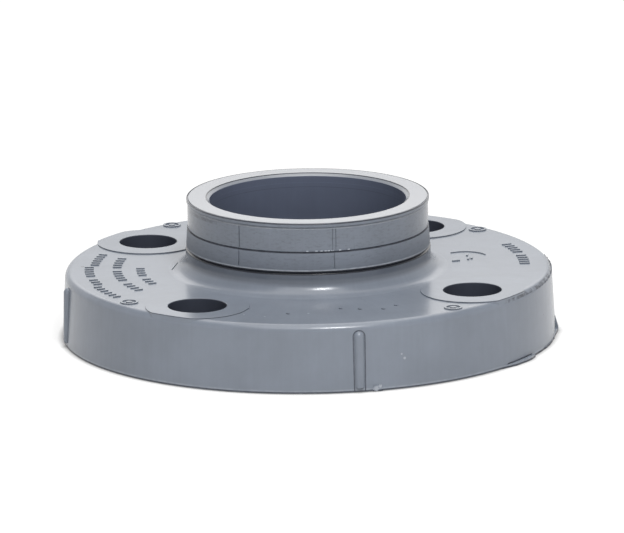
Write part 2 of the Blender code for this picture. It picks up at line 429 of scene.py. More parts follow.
def swept(name, outline, first, last, steps):
    """A closed profile of (r, z) points spun from one angle to another, with its ends filled."""
    piece = add_ring(name, [on_circle(r, last, z) for r, z in outline])
    bpy.ops.mesh.edge_face_add()
    # A positive angle turns the profile back towards the first angle
    turn = math.radians(last - first)
    bpy.ops.mesh.spin(steps=steps, angle=turn, center=(0.0, 0.0, 0.0), axis=(0.0, 0.0, 1.0))
    close_mesh(piece)
    return piece


def place(obj, spot, angle=0.0, lean=0.0):
    """Leans an object about Y, turns it about Z, moves it, and puts its place in its mesh."""
    pick(obj)
    obj.location = spot
    obj.rotation_euler = (0.0, lean, angle)
    bpy.ops.object.transform_apply(location=True, rotation=True, scale=True)
    return obj


def copy_of(obj):
    twin = obj.copy()
    twin.data = obj.data.copy()
    bpy.context.scene.collection.objects.link(twin)
    return twin


def spread(obj, places):
    """Copies of a shape at (spot, angle) places, the shape itself taken off."""
    copies = [place(copy_of(obj), spot, angle) for spot, angle in places]
    bpy.data.objects.remove(obj)
    return copies


def join(pieces, name):
    pick(*pieces)
    bpy.ops.object.join()
    return named(name)


def boolean(target, tool, operation):
    """Joins a shape to a piece or cuts it out, and removes the shape."""
    pick(target)
    step = target.modifiers.new(tool.name, 'BOOLEAN')
    step.operation = operation
    step.solver = 'EXACT'
    step.object = tool
    bpy.ops.object.modifier_apply(modifier=step.name)
    bpy.data.objects.remove(tool)


def pad_ring(disc, z, count):
    """Edge of a bolt pad on +X, trimmed where it would pass the rim's wall."""
    limit = wall_r(disc, z) - 0.0002
    centre = disc.bolt_circle / 2
    for i in range(count):
        turn = math.tau * i / count
        spot = Vector((centre + disc.rim_margin * math.cos(turn), disc.rim_margin * math.sin(turn), z))
        reach = math.hypot(spot.x, spot.y)
        if reach > limit:
            spot.x *= limit / reach
            spot.y *= limit / reach
        yield spot


def bolt_pads(disc):
    """Four raised pads under the bolt heads, one modelled and the rest copied."""
    count = 96
    low = disc.thickness - disc.rim_edge - 0.001
    top = disc.thickness + disc.pad_height
    pad = add_ring("pad", list(pad_ring(disc, top, count)))
    bpy.ops.mesh.extrude_edges_move()
    shape = bmesh.from_edit_mesh(pad.data)
    for vert, spot in zip([v for v in shape.verts if v.select], pad_ring(disc, low, count)):
        vert.co = spot
    bmesh.update_edit_mesh(pad.data)
    bpy.ops.mesh.edge_face_add()
    select_edges(pad, lambda a, b: abs(a.z - top) < MERGE and abs(b.z - top) < MERGE)
    bpy.ops.mesh.edge_face_add()
    bpy.ops.mesh.bevel(offset=disc.pad_edge, offset_type='OFFSET', segments=2, affect='EDGES')
    close_mesh(pad)
    return spread(pad, [((0.0, 0.0, 0.0), OCTANT + i * math.pi / 2) for i in range(4)])


def rim_ribs(disc):
    """Half-round ribs with domed tops, sunk into the rim's wall."""
    axis_r = rib_axis(disc)
    dome_z = disc.thickness - disc.rib_drop - disc.rib_radius
    foot = disc.rib_base
    outline = [(0.0, dome_z + disc.rib_radius)]
    outline += arc((0.0, dome_z), disc.rib_radius, 80, 0, 7)
    outline += arc((disc.rib_radius - 0.0003, foot + 0.0003), 0.0003, 0, -90, 3) + [(0.0, foot)]
    rib = turned("rib", outline, 32)
    ribs = [rib, copy_of(rib)]
    for each, degrees in zip(ribs, RIB_ANGLES):
        place(each, on_circle(axis_r, degrees), math.radians(degrees), -disc.rib_draft)
    return ribs


def bolt_drills(disc):
    """Cutters for the bolt holes, a little wider at both mouths."""
    r = disc.bolt_hole / 2
    edge = disc.hole_edge
    top = disc.thickness + disc.pad_height
    outline = [(0.0, top + 0.001), (r + edge, top + 0.001), (r + edge, top)]
    outline += arc((r + edge, top - edge), edge, 100, 180, 4)
    outline += arc((r + edge, edge), edge, 180, 260, 4)
    outline += [(r + edge, -0.001), (0.0, -0.001)]
    drill = turned("drill", outline, 72)
    return spread(drill, [(on_circle(disc.bolt_circle / 2, 45 + 90 * i), 0.0) for i in range(4)])


def raised_bar(disc, length, width, height):
    """A plain bar with round ends, lying along X on top of the disc."""
    bpy.ops.object.select_all(action='DESELECT')
    bpy.ops.mesh.primitive_cube_add(size=1.0, location=(0.0, 0.0, disc.thickness + (height - SINK) / 2))
    bar = named("bar")
    bar.scale = (length, width, height + SINK)
    bpy.ops.object.transform_apply(location=True, rotation=True, scale=True)
    edit(bar)
    select_edges(bar, lambda a, b: abs(a.z - b.z) > MERGE)
    bpy.ops.mesh.bevel(offset=width * 0.42, offset_type='OFFSET', segments=3, affect='EDGES')
    close_mesh(bar)
    return bar


def bar_rows(disc, marks):
    """Rows of plain raised bars, in groups with a gap between."""
    bars = []
    for radius, length, first, last, step, group in BAR_ROWS:
        count = int((last - first) / step) + 1
        turns = [first + step * i for i in range(count) if i % (group + 1) != group]
        bar = raised_bar(disc, length, marks.stroke, marks.height)
        bars += spread(bar, [(on_circle(radius, turn), math.radians(turn)) for turn in turns])
    return bars


def ring_marks(disc, marks):
    """Plain raised rings with a button inside."""
    low = disc.thickness - SINK
    high = disc.thickness + marks.height
    ring = turned("ring", band(marks.ring - marks.stroke, marks.ring, low, high), 40)
    button = turned("button", band(0.0, marks.button, low, high), 24)
    mark = join([ring, button], "ring_mark")
    return spread(mark, [(on_circle(radius, turn), 0.0) for radius, turn in RING_PLACES])


def front_studs(disc, marks):
    stud = raised_bar(disc, 0.0012, 0.0007, marks.height)
    return spread(stud, [(on_circle(radius, turn), math.radians(turn + 35)) for radius, turn in STUD_PLACES])


def bow_mark(disc, marks):
    """A plain raised bow, with two short bars under it."""
    outline = band(0.0066, 0.0070, disc.thickness - SINK, disc.thickness + marks.height * 0.8)
    bow = place(swept("bow", outline, 12.0, 118.0, 24), (0.0495, 0.0003, 0.0))
    bar = raised_bar(disc, 0.0026, marks.stroke, marks.height)
    bars = spread(bar, [
        ((0.0457, -0.0041, 0.0), 0.12), ((0.0500, -0.0022, 0.0), 1.3), ((0.0512, -0.0016, 0.0), 1.3),
        ((0.0506, 0.0024, 0.0), 1.3),
    ])
    return [bow] + bars


def hub_seams(disc, hub, marks):
    """Cutters for the fine seams down the hub, some double on the collar, a nick, a crease and a scratch."""
    collar_r = mouth_radius(hub) + hub.wall
    skirt_r = collar_r + hub.skirt_step + hub.skirt_flare / 2
    skirt_z = disc.thickness + hub.fillet + hub.neck + hub.undercut
    parting_z = parting_height(disc, hub)
    cutters = []
    for radius, low, high, gap in (
        (collar_r, parting_z + 0.0004, disc.height - hub.lip - 0.0006, marks.seam_gap),
        (skirt_r, skirt_z + 0.0009, parting_z - 0.0004, 0.0),
    ):
        half = math.degrees(marks.seam / 2 / radius)
        outline = band(radius - marks.seam, radius + SINK, low, high)
        for angle, double in SEAMS:
            twin = math.degrees(gap / 2 / radius) if double else 0.0
            for middle in {angle - twin, angle + twin}:
                cutters.append(swept("seam", outline, middle - half, middle + half, 1))
    rim_r = wall_r(disc, 0.001)
    for name, inner, outer, (first, last, low, high), steps in (
        ("nick", collar_r - 0.00012, collar_r + 0.001, NICK, 1),
        ("crease", rim_r - 0.0005, rim_r + 0.0002, CREASE, 24),
    ):
        cutters.append(swept(name, band(inner, outer, low, high), first, last, steps))
    scratch = raised_bar(disc, 0.0079, 0.0004, 0.001)
    cutters.append(place(scratch, (-0.0403, 0.0088, 0.0), math.radians(65.9)))
    return cutters


def reach_at(angle, table):
    """Reach in millimetres between the entries of a flash table."""
    for (a, low), (b, high) in zip(table, table[1:]):
        if angle <= b:
            return low + (high - low) * (angle - a) / (b - a)
    return table[-1][1]


def rim_flash(disc):
    """Thin ragged flash round the foot of the rim, where the mould's halves met."""
    noise = random.Random(5)
    rim_r = wall_r(disc, 0.0)
    pieces = []
    for first, last, low, high, table in FLASH:
        steps = int((last - first) / 0.35)
        outline = [(rim_r - SINK, low), (rim_r, low), (rim_r, high), (rim_r - SINK - 0.0002, high)]
        fin = swept("flash", outline, first, last, steps)
        rags = [noise.uniform(-0.07, 0.07) for _ in range(steps + 1)]
        for vert in fin.data.vertices:
            if math.hypot(vert.co.x, vert.co.y) < rim_r - MERGE:
                continue
            angle = math.degrees(math.atan2(vert.co.y, vert.co.x)) % 360
            rag = rags[round((angle - first) / (last - first) * steps)]
            reach = max(0.0, reach_at(angle, table) + rag) / 1000
            if vert.co.z > low + MERGE:
                vert.co = on_circle(rim_r - 0.0002 + reach, angle, high + rag * 0.004)
            else:
                vert.co = on_circle(rim_r - 0.00005 + reach, angle, low)
        pieces.append(fin)
    # One upright sliver stands at the right of the photo
    sliver = [(rim_r + reach, z) for reach, z in ((-SINK, 0.0001), *SLIVER, (-SINK, 0.0052))]
    pieces.append(swept("sliver", sliver, *SLIVER_ANGLES, 1))
    return pieces


def edge_flash(disc):
    """A thin ragged fin that stands along the rim's upper edge at the right."""
    noise = random.Random(11)
    low = disc.thickness - disc.rim_edge - 0.0003
    high = disc.thickness - 0.0009
    outline = [
        (wall_r(disc, low) - 0.0003, low), (wall_r(disc, low) + 0.00001, low),
        (wall_r(disc, high) + 0.00004, high), (wall_r(disc, high) - 0.00012, high),
    ]
    first, rise, last = EDGE_FLASH
    fin = swept("edge_flash", outline, first, last, 110)
    for vert in fin.data.vertices:
        if vert.co.z > high - MERGE:
            angle = math.degrees(math.atan2(vert.co.y, vert.co.x)) % 360
            fade = min(1.0, (angle - first) / rise) if angle > 180 else 1.0
            vert.co.z -= (1.0 - fade * noise.uniform(0.5, 1.0)) * 0.0013
    return fin


def parting_dashes(disc, hub):
    """Small crumbs of flash just over the parting groove."""
    collar_r = mouth_radius(hub) + hub.wall
    low = parting_height(disc, hub) + hub.parting / 2 + 0.0001
    outline = [(collar_r - 0.0004, low), (collar_r + 0.00013, low), (collar_r + 0.0001, low + 0.00028),
               (collar_r - 0.0004, low + 0.0003)]
    return [swept("crumb", outline, angle - 0.55, angle + 0.5, 2) for angle in CRUMB_ANGLES]


def rib_axis(disc):
    """Radius of a rib's axis at the gasket face."""
    return wall_r(disc, 0.0) + disc.rib_reach - disc.rib_radius


class Tree:
    """A short way to add nodes to a material or a node group."""

    def __init__(self, tree):
        self.tree = tree

    def add(self, kind, inputs=None, **settings):
        node = self.tree.nodes.new(kind)
        for name, value in settings.items():
            setattr(node, name, value)
        for name, value in (inputs or {}).items():
            self.feed(node.inputs[name], value)
        return node

    def feed(self, socket, value):
        if hasattr(value, "is_output"):
            self.tree.links.new(value, socket)
        else:
            socket.default_value = value

    def math(self, operation, a, b=0.0, clamp=False):
        return self.add("ShaderNodeMath", {0: a, 1: b}, operation=operation, use_clamp=clamp).outputs[0]

    def plus(self, a, b, clamp=False):
        return self.math('ADD', a, b, clamp)

    def minus(self, a, b, clamp=False):
        return self.math('SUBTRACT', a, b, clamp)

    def times(self, a, b):
        return self.math('MULTIPLY', a, b)

    def vector(self, operation, a, b=(0.0, 0.0, 0.0)):
        node = self.add("ShaderNodeVectorMath", {0: a, 1: b}, operation=operation)
        return node.outputs["Value" if operation in {'LENGTH', 'DOT_PRODUCT'} else "Vector"]

    def ramp(self, value, low, high):
        """Value stretched so that low gives 0 and high gives 1."""
        inputs = {"Value": value, "From Min": low, "From Max": high}
        return self.add("ShaderNodeMapRange", inputs, clamp=True).outputs[0]

    def noise(self, place, scale, detail=2.0, roughness=0.5):
        inputs = {"Vector": place, "Scale": scale, "Detail": detail, "Roughness": roughness}
        return self.add("ShaderNodeTexNoise", inputs).outputs["Fac"]

    def mix(self, share, a, b):
        node = self.add("ShaderNodeMix", data_type='RGBA')
        for name, value in ((0, share), (6, a), (7, b)):
            self.feed(node.inputs[name], value)
        return node.outputs[2]

    def over(self, colour, mask, share, tint):
        """A colour with a tint laid over it where the mask is 1."""
        return self.mix(self.times(mask, share), colour, (*tint, 1.0))

    def scaled(self, vector, factor):
        return self.add("ShaderNodeVectorMath", {0: vector, 3: factor}, operation='SCALE').outputs[0]

    def along(self, axis, value):
        """A vector of one number along an axis."""
        return self.add("ShaderNodeCombineXYZ", {axis: value}).outputs[0]

    def height_of(self, place):
        return self.add("ShaderNodeSeparateXYZ", {0: place}).outputs["Z"]

    def radius_of(self, place):
        return self.vector('LENGTH', self.vector('MULTIPLY', place, (1.0, 1.0, 0.0)))

    def use(self, group, inputs):
        node = self.add("ShaderNodeGroup", node_tree=group)
        for name, value in inputs.items():
            self.feed(node.inputs[name], value)
        return node.outputs


def new_group(name, values, outputs):
    """An empty node group that takes a place and named values."""
    group = bpy.data.node_groups.new(name, "ShaderNodeTree")
    group.interface.new_socket("Place", in_out='INPUT', socket_type='NodeSocketVector')
    for label, default in values.items():
        socket = group.interface.new_socket(label, in_out='INPUT', socket_type='NodeSocketFloat')
        socket.default_value = default
    for label in outputs:
        group.interface.new_socket(label, in_out='OUTPUT', socket_type='NodeSocketFloat')
    tree = Tree(group)
    return group, tree, tree.add("NodeGroupInput").outputs, tree.add("NodeGroupOutput").inputs


def flow_group():
    """Cloudy tone of moulded plastic and its fine orange peel."""
    group, tree, given, out = new_group(
        "moulded_flow", {"Cloud Size": 0.02, "Grain Size": 0.0011}, ("Tone", "Height"))
    cloud = tree.noise(given["Place"], tree.math('DIVIDE', 1.0, given["Cloud Size"]), 4.0, 0.6)
    grain = tree.noise(given["Place"], tree.math('DIVIDE', 1.0, given["Grain Size"]), 3.0, 0.6)
    tree.feed(out["Tone"], tree.minus(cloud, 0.5))
    tree.feed(out["Height"], tree.plus(grain, tree.times(cloud, 1.5)))
    return group


def drag_group():
    """Upright streaks on drafted walls, from the mould's ejection."""
    group, tree, given, out = new_group("drag_marks", {"Width": 0.001, "Length": 0.02}, ("Streak",))
    flat = tree.vector('MULTIPLY', given["Place"], (1.0, 1.0, 0.0))
    around = tree.vector('MULTIPLY', tree.vector('NORMALIZE', flat), (0.05, 0.05, 0.05))
    height = tree.times(tree.height_of(given["Place"]), tree.math('DIVIDE', given["Width"], given["Length"]))
    spot = tree.vector('ADD', around, tree.along("Z", height))
    streak = tree.noise(spot, tree.math('DIVIDE', 1.0, given["Width"]), 2.0, 0.6)
    tree.feed(out["Streak"], tree.minus(streak, 0.5))
    return group


def lathe_group():
    """Fine rings that a turning tool leaves round the axis."""
    group, tree, given, out = new_group("lathe_rings", {"Pitch": 0.0003}, ("Ring",))
    radius = tree.along("X", tree.radius_of(given["Place"]))
    rings = tree.noise(radius, tree.math('DIVIDE', 1.0, given["Pitch"]), 1.0, 0.5)
    tree.feed(out["Ring"], tree.minus(rings, 0.5))
    return group


def line_group():
    """A thin line where a height or radius meets its middle value, broken by noise."""
    group, tree, given, out = new_group(
        "thin_line", {"Value": 0.0, "Middle": 0.03, "Half Width": 0.0002, "Breaks": 0.0}, ("Line",))
    off = tree.math('ABSOLUTE', tree.minus(given["Value"], given["Middle"]))
    core = tree.times(given["Half Width"], 0.6)
    line = tree.minus(1.0, tree.ramp(off, core, given["Half Width"]))
    gaps = tree.ramp(tree.noise(given["Place"], 420.0, 3.0, 0.6), 0.42, 0.62)
    kept = tree.minus(1.0, tree.times(gaps, given["Breaks"]))
    tree.feed(out["Line"], tree.times(line, kept))
    return group


def speck_group():
    """Sparse small specks, pale dust or dark bits."""
    group, tree, given, out = new_group(
        "specks", {"Spacing": 0.004, "Size": 0.0002, "Share": 0.3}, ("Speck",))
    scale = tree.math('DIVIDE', 1.0, given["Spacing"])
    cells = tree.add("ShaderNodeTexVoronoi", {"Vector": given["Place"], "Scale": scale})
    near = tree.times(cells.outputs["Distance"], given["Spacing"])
    dot = tree.minus(1.0, tree.ramp(near, tree.times(given["Size"], 0.5), given["Size"]))
    pick = tree.add("ShaderNodeSeparateColor", {0: cells.outputs["Color"]}).outputs[0]
    tree.feed(out["Speck"], tree.times(dot, tree.math('LESS_THAN', pick, given["Share"])))
    return group


def spot_group():
    """One small ragged spot round the origin of its place."""
    group, tree, given, out = new_group("single_spot", {"Size": 0.0004}, ("Spot",))
    far = tree.math('DIVIDE', tree.vector('LENGTH', given["Place"]), given["Size"])
    rag = tree.times(tree.minus(tree.noise(given["Place"], 2500.0), 0.5), 0.8)
    tree.feed(out["Spot"], tree.minus(1.0, tree.ramp(tree.plus(far, rag), 0.7, 1.1)))
    return group


def new_material(name, roughness):
    material = bpy.data.materials.new(name)
    material.use_nodes = True
    shader = material.node_tree.nodes["Principled BSDF"]
    shader.inputs["Roughness"].default_value = roughness
    shader.inputs["IOR"].default_value = 1.5
    tree = Tree(material.node_tree)
    return material, tree, shader, tree.add("ShaderNodeTexCoord").outputs["Object"]


def shade(tree, colour, tone, strength):
    """A colour made lighter or darker by a tone round zero."""
    factor = tree.plus(1.0, tree.times(tone, strength))
    return tree.scaled(tuple(colour)[:3], factor)


def bump(tree, shader, height, distance):
    node = tree.add("ShaderNodeBump", {"Height": height, "Distance": distance})
    tree.feed(shader.inputs["Normal"], node.outputs[0])


def draw_lines(tree, group, here, colour, lines):
    """Lines laid over a colour: value, middle, half width, breaks, depth, then the line's colour."""
    for value, middle, width, breaks, depth, tint in lines:
        line = tree.use(group, {
            "Place": here, "Value": value, "Middle": middle, "Half Width": width, "Breaks": breaks})
        colour = tree.over(colour, line["Line"], depth, tint)
    return colour


def rib_distance(tree, here, disc, degrees):
    """Distance from the axis of a rib, which leans and ends in a dome."""
    z = tree.height_of(here)
    past_dome = tree.math('MAXIMUM', tree.minus(z, disc.thickness - disc.rib_drop - disc.rib_radius), 0.0)
    lean = tree.scaled(on_circle(-1.0, degrees), tree.times(z, math.tan(disc.rib_draft)))
    off = tree.vector('SUBTRACT', tree.vector('SUBTRACT', here, on_circle(rib_axis(disc), degrees)), lean)
    off = tree.vector('MULTIPLY', off, (1.0, 1.0, 0.0))
    return tree.vector('LENGTH', tree.vector('ADD', off, tree.along("Z", past_dome)))


def moulded_material(finish, groups, disc, hub):
    """The skin left by the mould: cloudy and faintly streaked, with painted shade in its grooves and creases
    and painted highlights along some of its edges.
    """
    roughness = 0.22
    shade_and_grime, pale_and_highlight = finish.shade_and_grime, finish.pale_and_highlight
    material, tree, shader, here = new_material("moulded_pvc", roughness)
    flow = tree.use(groups["flow"], {"Place": here})
    drag = tree.use(groups["drag"], {"Place": here})
    colour = shade(tree, finish.plastic, tree.plus(flow["Tone"], tree.times(drag["Streak"], 0.25)), 0.35)
    z = tree.height_of(here)
    fillet_r = mouth_radius(hub) + hub.wall + hub.fillet + 0.001
    neck_z = disc.thickness + hub.fillet
    undercut_z = neck_z + hub.neck + hub.undercut / 2
    skirt_z = undercut_z + hub.undercut / 2
    parting_z = parting_height(disc, hub)
    lip_z = disc.height - hub.lip
    mark_z = disc.thickness + 0.00014
    # Heights that count only inside the hub's fillet, outside it, and outside it on a bolt pad
    inner = tree.plus(z, tree.math('GREATER_THAN', tree.radius_of(here), fillet_r))
    outer = tree.minus(inner, 1.0)
    folded = tree.vector('SUBTRACT', tree.vector('ABSOLUTE', here), on_circle(disc.bolt_circle / 2, 45))
    on_pad = tree.math('LESS_THAN', tree.radius_of(folded), disc.rim_margin + 0.0003)
    pad_side = tree.minus(tree.plus(outer, on_pad), 1.0)
    # Heights that count only at the right, where the rim's edge is ragged, and at the left, under the lip
    facing = [tree.vector('DOT_PRODUCT', here, on_circle(1.0, side)) for side in (340, 192)]
    ragged = tree.minus(tree.plus(z, tree.ramp(facing[0], 0.0600, 0.0660)), 1.0)
    shaded_under_lip = tree.minus(tree.plus(z, tree.ramp(facing[1], 0.0320, 0.0350)), 1.0)
    on_hub = tree.math('GREATER_THAN', z, undercut_z)
    on_skirt = tree.times(on_hub, tree.math('LESS_THAN', z, parting_z))
    # Painted shade and painted reflection of the darker disc: the skirt grows darker towards its foot
    skirt_foot = tree.times(on_hub, tree.minus(1.0, tree.ramp(z, skirt_z, parting_z)))
    colour = tree.over(colour, skirt_foot, 0.3, shade_and_grime)
    lines = [
        # Painted shade along the sides of the raised marks and the bolt pads
        (outer, mark_z, 0.00012, 0.3, 0.45, shade_and_grime),
        (pad_side, mark_z, 0.00012, 0.2, 0.7, shade_and_grime),
        # Painted shade in the crease under the ragged rim edge at the right, and below the lip at the left
        (ragged, disc.thickness - 0.0009, 0.0006, 1.0, 0.75, shade_and_grime),
        (shaded_under_lip, lip_z - 0.0013, 0.0006, 1.0, 0.45, shade_and_grime),
        # Painted light: a paler band on the foot of the hub's fillet
        (inner, disc.thickness + 0.0005, 0.0007, 0.2, 0.14, pale_and_highlight),
        # Painted shade in the parting groove, on the neck and in the undercut
        (z, parting_z, 0.00034, 0.15, 1.0, shade_and_grime),
        (z, neck_z + 0.0004, 0.0028, 0.0, 0.38, shade_and_grime),
        (z, undercut_z - 0.0001, 0.0007, 0.0, 1.0, shade_and_grime * 0.4),
        # Painted highlight along the skirt's foot
        (z, skirt_z + 0.00045, 0.00028, 0.3, 0.9, pale_and_highlight),
        # Painted shade along the lip's upper edge and under the lip
        (z, disc.height - 0.0002, 0.00027, 0.1, 0.95, shade_and_grime),
        (z, lip_z - 0.0001, 0.00015, 0.8, 0.5, shade_and_grime),
        # Painted highlight on the ledge under the lip
        (z, lip_z - 0.0004, 0.0003, 0.4, 0.7, pale_and_highlight),
        # Painted highlight just above the rim's foot, and painted contact shadow along the foot itself
        (z, 0.0008, 0.0004, 0.7, 0.35, pale_and_highlight),
        (z, 0.0001, 0.0006, 0.1, 0.95, shade_and_grime),
    ]
    # Painted shade darkens the crease round each rib
    for degrees in RIB_ANGLES:
        far = rib_distance(tree, here, disc, degrees)
        lines.append((far, disc.rib_radius + 0.00026, 0.00022, 0.2, 0.8, shade_and_grime))
    colour = draw_lines(tree, groups["line"], here, colour, lines)
    for x, y, height, size, pale in SPECKS:
        middle = tree.vector('SUBTRACT', here, (x, y, height))
        spot = tree.use(groups["spot"], {"Place": middle, "Size": size})
        colour = tree.over(colour, spot["Spot"], 0.8, pale_and_highlight if pale else shade_and_grime)
    dust = tree.use(groups["speck"], {"Place": here, "Spacing": 0.006, "Size": 0.0002, "Share": 0.2})
    colour = tree.over(colour, dust["Speck"], 0.35, pale_and_highlight)
    soil = tree.ramp(tree.noise(tree.vector('MULTIPLY', here, (1.0, 1.0, 3.0)), 520.0, 5.0, 0.7), 0.5, 0.8)
    colour = tree.over(colour, tree.times(soil, on_hub), 0.35, shade_and_grime)
    moved = tree.vector('ADD', here, (0.31, 0.17, 0.23))
    bits = tree.use(groups["speck"], {"Place": moved, "Spacing": 0.008, "Size": 0.00022, "Share": 0.18})
    tree.feed(shader.inputs["Base Color"], tree.over(colour, bits["Speck"], 0.6, shade_and_grime))
    matt = tree.plus(tree.times(flow["Tone"], 0.1), tree.times(on_skirt, 0.25))
    tree.feed(shader.inputs["Roughness"], tree.plus(roughness, matt))
    bump(tree, shader, flow["Height"], 0.000006)
    return material



def turned_material(finish, groups, hub):
    """A face cut by a tool: paler, with fine rings, and glossy at a low angle."""
    material, tree, shader, here = new_material("turned_pvc", 0.25)
    rings = tree.use(groups["lathe"], {"Place": here, "Pitch": 0.00035})
    flow = tree.use(groups["flow"], {"Place": here})
    tone = tree.plus(flow["Tone"], tree.times(rings["Ring"], 0.6))
    radius = tree.radius_of(here)
    mouth_r = mouth_radius(hub)
    # Painted shade along the end face's inner and outer edges
    colour = draw_lines(tree, groups["line"], here, shade(tree, finish.turned, tone, 0.12), (
        (radius, mouth_r + hub.mouth_chamfer + 0.0001, 0.00026, 0.1, 0.9, finish.shade_and_grime),
        (radius, mouth_r + hub.wall + hub.lip_step - 0.0003, 0.00025, 0.1, 0.9, finish.shade_and_grime),
    ))
    tree.feed(shader.inputs["Base Color"], colour)
    shader.inputs["Coat Weight"].default_value = 0.3
    shader.inputs["Coat Roughness"].default_value = 0.15
    bump(tree, shader, rings["Ring"], 0.00001)
    return material


def dragged_material(name, tint, groups, roughness):
    """Inside of the socket and of the bolt holes: dragged along by the core, darkened as painted shade, and
    lighter towards the socket's mouth as painted light.
    """
    material, tree, shader, here = new_material(name, roughness)
    drag = tree.use(groups["drag"], {"Place": here, "Width": 0.002, "Length": 0.03})
    flow = tree.use(groups["flow"], {"Place": here})
    z = tree.height_of(here)
    tone = tree.plus(flow["Tone"], tree.times(drag["Streak"], 0.3))
    # Painted light: the socket's wall grows lighter towards its mouth
    tone = tree.plus(tone, tree.times(tree.ramp(z, 0.031, 0.0432), 1.1))
    colour = draw_lines(tree, groups["line"], here, shade(tree, tint, tone, 0.3), (
        (z, 0.0406, 0.00012, 0.5, 0.25, tint * 2.0), (z, 0.0392, 0.0001, 0.3, 0.35, tint * 0.4),
    ))
    tree.feed(shader.inputs["Base Color"], colour)
    shader.inputs["Specular IOR Level"].default_value = 0.3
    bump(tree, shader, drag["Streak"], 0.00001)
    return material


def torn_material(finish, groups):
    """Pale rough plastic where flash has broken off."""
    material, tree, shader, here = new_material("torn_pvc", 0.55)
    flow = tree.use(groups["flow"], {"Place": here, "Cloud Size": 0.0008, "Grain Size": 0.0003})
    tree.feed(shader.inputs["Base Color"], shade(tree, finish.pale_and_highlight * 1.2, flow["Tone"], 0.9))
    bump(tree, shader, flow["Height"], 0.00003)
    return material


def finish_of(face, corners, disc, hub):
    """Number of the material that a face takes, by its place."""
    spot, normal = face.center, face.normal
    radius = math.hypot(spot.x, spot.y)
    angle = math.degrees(math.atan2(spot.y, spot.x)) % 360
    bolt = on_circle(disc.bolt_circle / 2, 45 + 90 * int(angle // 90))
    reach = max(math.hypot(corner.x - bolt.x, corner.y - bolt.y) for corner in corners)
    # Painted shade: the bolt holes take the darkest grey
    if reach < disc.bolt_hole / 2 + disc.hole_edge * 0.8:
        return SHADED_DEEP
    # Painted shade: the socket takes its darker grey
    if radius < mouth_radius(hub) + 0.00002 and spot.z > 0.0:
        return SHADED_BORE
    lip_r = mouth_radius(hub) + hub.wall + hub.lip_step
    if spot.z > disc.height - hub.mouth_chamfer - 0.0001 and radius < lip_r - 0.00028:
        return TURNED
    if spot.z < 0.0006 and normal.z < -0.3:
        return TURNED
    collar_r = mouth_radius(hub) + hub.wall
    if radius > collar_r + 0.00003 and parting_height(disc, hub) + 0.0002 < spot.z < 0.0358:
        return TORN
    # Painted shade: the inner faces of the fin along the rim's upper edge take the darkest grey
    edge_z = disc.thickness - disc.rim_edge - 0.0004
    if spot.z > edge_z and radius > 0.0738 and normal.x * spot.x + normal.y * spot.y < -0.2 * radius:
        return SHADED_DEEP
    return MOULDED


class FLANGE_OT_moulding(bpy.types.Operator):
    """Turn the body, join its pads, ribs, marks and flash, cut its seams and drill its bolt holes"""

    bl_idname = "flange.moulding"
    bl_label = "Moulding"

    def execute(self, context):
        scene = context.scene
        disc, hub, marks, finish = scene.flange_sizes, scene.hub_sizes, scene.mark_sizes, scene.flange_finish
        outline = hub_outline(disc, hub) + rim_outline(disc)
        outline += gasket_outline(disc, hub) + bore_outline(disc, hub)
        body = turned("flange_moulding", outline, disc.turn_steps)
        boolean(body, join(bolt_pads(disc) + rim_ribs(disc), "pads_and_ribs"), 'UNION')
        raised = bar_rows(disc, marks) + ring_marks(disc, marks) + front_studs(disc, marks)
        boolean(body, join(raised + bow_mark(disc, marks), "marks"), 'UNION')
        for fin in rim_flash(disc) + [edge_flash(disc)]:
            boolean(body, fin, 'UNION')
        boolean(body, join(parting_dashes(disc, hub), "crumbs"), 'UNION')
        boolean(body, join(hub_seams(disc, hub, marks), "seams"), 'DIFFERENCE')
        boolean(body, join(bolt_drills(disc), "drills"), 'DIFFERENCE')
        groups = {
            "flow": flow_group(), "drag": drag_group(), "lathe": lathe_group(),
            "line": line_group(), "speck": speck_group(), "spot": spot_group(),
        }
        body.data.materials.clear()
        for material in (
            moulded_material(finish, groups, disc, hub), turned_material(finish, groups, hub),
            dragged_material("bore_pvc", finish.shaded_bore, groups, 0.3),
            dragged_material("deep_pvc", finish.deep, groups, 0.4), torn_material(finish, groups),
        ):
            body.data.materials.append(material)
        verts = body.data.vertices
        for face in body.data.polygons:
            face.material_index = finish_of(face, [verts[i].co for i in face.vertices], disc, hub)
        pick(body)
        bpy.ops.object.shade_smooth_by_angle(angle=math.radians(35.0))
        even = body.modifiers.new("even_shading", 'WEIGHTED_NORMAL')
        even.mode = 'FACE_AREA'
        even.keep_sharp = True
        bpy.ops.object.modifier_apply(modifier=even.name)
        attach(body, "root")
        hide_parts("flange_body")
        return {'FINISHED'}


